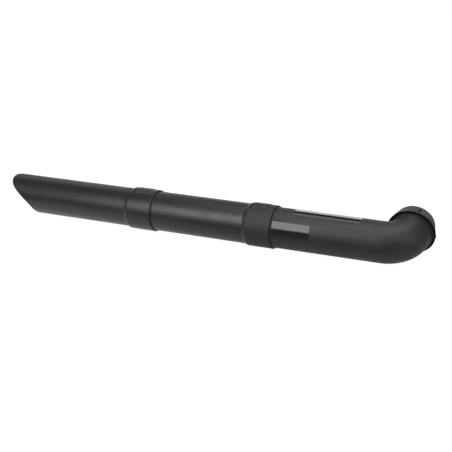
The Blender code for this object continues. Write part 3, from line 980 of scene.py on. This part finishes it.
def add_floor():
    """The studio's floor."""
    deselect()
    bpy.ops.mesh.primitive_plane_add(size=FLOOR_SIZE, location=(0, 0, 0))
    floor = bpy.context.object
    floor.name = "floor"
    floor.data.materials.append(studio_paper())


def light_world():
    """An even grey room that the camera sees as white."""
    world = bpy.data.worlds.new("studio")
    bpy.context.scene.world = world
    world.use_nodes = True
    tree = world.node_tree
    background = tree.nodes["Background"]
    background.inputs["Color"].default_value = (1, 1, 1, 1)
    path = tree.nodes.new("ShaderNodeLightPath")
    level = tree.nodes.new("ShaderNodeMapRange")
    level.inputs["To Min"].default_value = ROOM_LEVEL
    level.inputs["To Max"].default_value = 1.0
    tree.links.new(path.outputs["Is Camera Ray"], level.inputs["Value"])
    tree.links.new(level.outputs["Result"], background.inputs["Strength"])


# Operators


class SUCTION_OT_front_tube(bpy.types.Operator):
    """Model the front tube with its slanted mouth"""
    bl_idname = "suction.front_tube"
    bl_label = "Front tube"

    def execute(self, context):
        finishes = context.scene.suction_finishes
        plastic = moulded_plastic("front_plastic", finishes.tube_colour,
                                  finishes.front_roughness, grain=0.35, streaks=0.03)
        build_front_tube(context.scene.suction_tube, plastic)
        return {"FINISHED"}


class SUCTION_OT_middle_tube(bpy.types.Operator):
    """Model the middle tube"""
    bl_idname = "suction.middle_tube"
    bl_label = "Middle tube"

    def execute(self, context):
        finishes = context.scene.suction_finishes
        sizes = context.scene.suction_tube
        shoulder = along_tube("middle_tube")[1] - sizes.middle_sleeve
        plastic = moulded_plastic("middle_plastic", finishes.tube_colour,
                                  finishes.middle_roughness, grain=0.25, streaks=0.03,
                                  sleeve=(shoulder, finishes.sleeve_roughness))
        build_middle_tube(sizes, plastic)
        return {"FINISHED"}


class SUCTION_OT_elbow_tube(bpy.types.Operator):
    """Model the rear tube with its elbow"""
    bl_idname = "suction.elbow_tube"
    bl_label = "Rear tube and elbow"

    def execute(self, context):
        finishes = context.scene.suction_finishes
        plastic = moulded_plastic("rear_plastic", finishes.tube_colour,
                                  finishes.rear_roughness, grain=0.5, streaks=0.02)
        build_elbow_tube(context.scene.suction_tube, context.scene.suction_outlet, plastic)
        return {"FINISHED"}


class SUCTION_OT_seals(bpy.types.Operator):
    """Model the rubber seals of the couplings and of the outlet"""
    bl_idname = "suction.seals"
    bl_label = "Seals"

    def execute(self, context):
        colour = context.scene.suction_finishes.rubber_colour
        rubber = dull_rubber("seal_rubber", colour, sheen=0.35)
        sizes = context.scene.suction_tube
        build_coupling_seal(sizes, "front_coupling_seal", "middle", rubber)
        build_coupling_seal(sizes, "rear_coupling_seal", "rear", rubber)
        # The outlet's seal lies at the bottom of the collar's recess and gets a darker copy of the
        # seal rubber: painted shade
        darker = [0.7 * part for part in colour]
        shaded_seal = dull_rubber("recess_shaded_rubber", darker, sheen=0.25)
        build_outlet_seal(context.scene.suction_outlet, shaded_seal)
        return {"FINISHED"}


class SUCTION_OT_collar(bpy.types.Operator):
    """Model the locking collar and the ring that holds it"""
    bl_idname = "suction.collar"
    bl_label = "Locking collar"

    def execute(self, context):
        finishes = context.scene.suction_finishes
        plastic = moulded_plastic("collar_plastic", finishes.collar_colour,
                                  roughness=0.5, grain=0.5, streaks=0.0)
        build_collar(context.scene.suction_outlet, plastic)
        build_retaining_ring(context.scene.suction_outlet, plastic)
        return {"FINISHED"}


class SUCTION_OT_films(bpy.types.Operator):
    """Model the label and the gloss patch on the rear tube"""
    bl_idname = "suction.films"
    bl_label = "Label and gloss patch"

    def execute(self, context):
        sizes = context.scene.suction_tube
        build_film("tube_label", sizes, LABEL_SPAN, LABEL_SLANT,
                   label_film(context.scene.suction_finishes), "label_film")
        build_film("gloss_patch", sizes, PATCH_SPAN, 0.0, gloss_film(), "gloss_film")
        return {"FINISHED"}


class SUCTION_OT_stage(bpy.types.Operator):
    """Set the floor, the lamps and the camera"""
    bl_idname = "suction.stage"
    bl_label = "Stage"

    def execute(self, context):
        settings = context.scene.suction_stage
        add_camera(settings)
        add_floor()
        for name, place, size, strength in LAMPS:
            add_softbox(name, place, size, strength * settings.lamp_strength)
        for name, place, size, tilt, strength in CARDS:
            add_card(name, place, size, tilt, plain_board(name + "_board", strength))
        add_card(*FLOOR_CARD, graded_board("floor_board"))
        light_world()
        context.scene.view_settings.view_transform = "Standard"
        return {"FINISHED"}


class SUCTION_PT_panel(bpy.types.Panel):
    """Lists the tube's pieces and settings in the sidebar"""
    bl_idname = "SUCTION_PT_panel"
    bl_label = "Suction tube"
    bl_space_type = "VIEW_3D"
    bl_region_type = "UI"
    bl_category = "Suction tube"

    def draw(self, context):
        for operator in OPERATORS:
            self.layout.operator(operator.bl_idname)
        for name in SETTINGS:
            group = getattr(context.scene, name)
            column = self.layout.column(align=True)
            for key in group.__annotations__:
                column.prop(group, key)


SETTINGS = {"suction_tube": TubeSizes, "suction_outlet": OutletSizes,
            "suction_finishes": Finishes, "suction_stage": StageSettings}
OPERATORS = (SUCTION_OT_stage, SUCTION_OT_front_tube, SUCTION_OT_middle_tube,
             SUCTION_OT_elbow_tube, SUCTION_OT_seals, SUCTION_OT_collar, SUCTION_OT_films)


def register():
    """Registers the settings, the operators and the panel."""
    for name, group in SETTINGS.items():
        bpy.utils.register_class(group)
        setattr(bpy.types.Scene, name, bpy.props.PointerProperty(type=group))
    for kind in (*OPERATORS, SUCTION_PT_panel):
        bpy.utils.register_class(kind)


def unregister():
    """Undoes register."""
    for kind in reversed((*OPERATORS, SUCTION_PT_panel)):
        bpy.utils.unregister_class(kind)
    for name, group in SETTINGS.items():
        delattr(bpy.types.Scene, name)
        bpy.utils.unregister_class(group)


def main():
    """Builds the stage and every piece."""
    register()
    bpy.ops.suction.stage()
    bpy.ops.suction.front_tube()
    bpy.ops.suction.middle_tube()
    bpy.ops.suction.elbow_tube()
    bpy.ops.suction.seals()
    bpy.ops.suction.collar()
    bpy.ops.suction.films()


if __name__ == "__main__":
    main()
